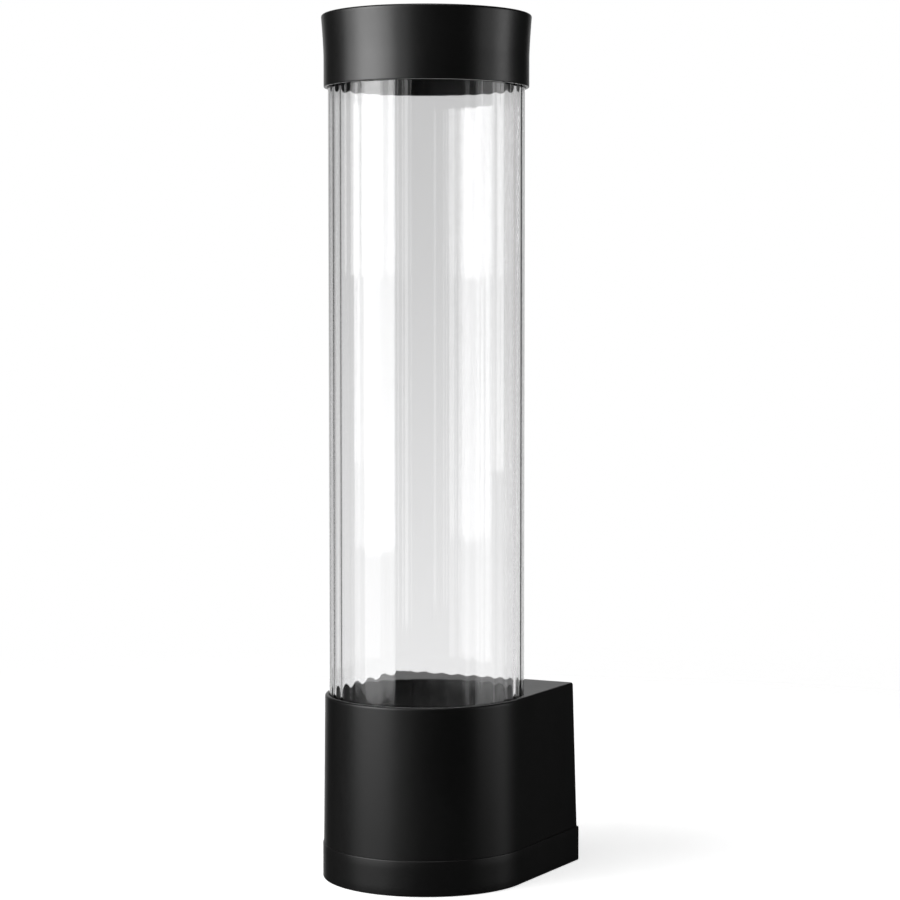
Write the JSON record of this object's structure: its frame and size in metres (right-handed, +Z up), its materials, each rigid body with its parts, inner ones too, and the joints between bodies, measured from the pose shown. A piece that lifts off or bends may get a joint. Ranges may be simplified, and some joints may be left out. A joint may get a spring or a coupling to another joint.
{
  "type": "cup dispenser",
  "caption": "Wall-hung pull-type dispenser for a stack of paper cups: clear fluted tube, lift-off cap and D-shaped base with sprung pawls round the outlet.",
  "frame": {"origin": "middle of the wall plate's back face, which lies against the wall", "axes": "+Y points into the wall, +Z up along the tube, +X to the right as seen from the front"},
  "size_m": [0.1012, 0.1116, 0.4],
  "materials": {
    "black_plastic": "satin black moulded ABS with soft highlights",
    "inner_plastic": "plain dark moulded plastic",
    "clear_plastic": "clear polished polystyrene with fine vertical flutes",
    "steel": "bright zinc-plated steel",
    "foam": "white foam adhesive tape"
  },
  "bodies": {
    "mounting": {"wall_plate": "inner_plastic", "adhesive_pad_left": "foam", "adhesive_pad_right": "foam"},
    "base": {"housing": "black_plastic", "bottom_cover": "black_plastic", "cup_guide": "inner_plastic", "pawl_carrier": "inner_plastic", "pawl_retainer": "inner_plastic", "pawl_pin_front": "steel", "pawl_pin_right": "steel", "pawl_pin_back": "steel", "pawl_pin_left": "steel", "cover_screw_1": "steel", "cover_screw_2": "steel", "carrier_screw_1": "steel", "carrier_screw_2": "steel", "carrier_screw_3": "steel", "carrier_screw_4": "steel", "retainer_screw_1": "steel", "retainer_screw_2": "steel", "retainer_screw_3": "steel", "retainer_screw_4": "steel", "pawl_spring_front": "steel", "pawl_spring_right": "steel", "pawl_spring_back": "steel", "pawl_spring_left": "steel"},
    "tube": {"cup_tube": "clear_plastic"},
    "cap": {"top_cap": "black_plastic"},
    "front_pawl": {"pawl_front": "inner_plastic"},
    "right_pawl": {"pawl_right": "inner_plastic"},
    "back_pawl": {"pawl_back": "inner_plastic"},
    "left_pawl": {"pawl_left": "inner_plastic"}
  },
  "joints": [
    {"name": "base_lift", "type": "slide", "parent": "mounting", "child": "base", "axis": [0, 0, 1], "range_m": [0, 0.007]},
    {"name": "tube_lift", "type": "slide", "parent": "base", "child": "tube", "axis": [0, 0, 1], "range_m": [0, 0.03]},
    {"name": "cap_lift", "type": "slide", "parent": "tube", "child": "cap", "axis": [0, 0, 1], "range_m": [0, 0.03]},
    {"name": "front_pawl_hinge", "type": "hinge", "parent": "base", "child": "front_pawl", "pos_m": [0, -0.1057, -0.044], "axis": [-1, 0, 0], "range_deg": [0, 60], "stiffness_Nm_per_rad": 0.01, "springref_deg": -28.65, "deforming": ["pawl_spring_front"]},
    {"name": "right_pawl_hinge", "type": "hinge", "parent": "base", "child": "right_pawl", "pos_m": [0.0427, -0.063, -0.044], "axis": [0, -1, 0], "range_deg": [0, 60], "stiffness_Nm_per_rad": 0.01, "springref_deg": -28.65, "deforming": ["pawl_spring_right"]},
    {"name": "back_pawl_hinge", "type": "hinge", "parent": "base", "child": "back_pawl", "pos_m": [0, -0.0203, -0.044], "axis": [1, 0, 0], "range_deg": [0, 60], "stiffness_Nm_per_rad": 0.01, "springref_deg": -28.65, "deforming": ["pawl_spring_back"]},
    {"name": "left_pawl_hinge", "type": "hinge", "parent": "base", "child": "left_pawl", "pos_m": [-0.0427, -0.063, -0.044], "axis": [0, 1, 0], "range_deg": [0, 60], "stiffness_Nm_per_rad": 0.01, "springref_deg": -28.65, "deforming": ["pawl_spring_left"]}
  ]
}
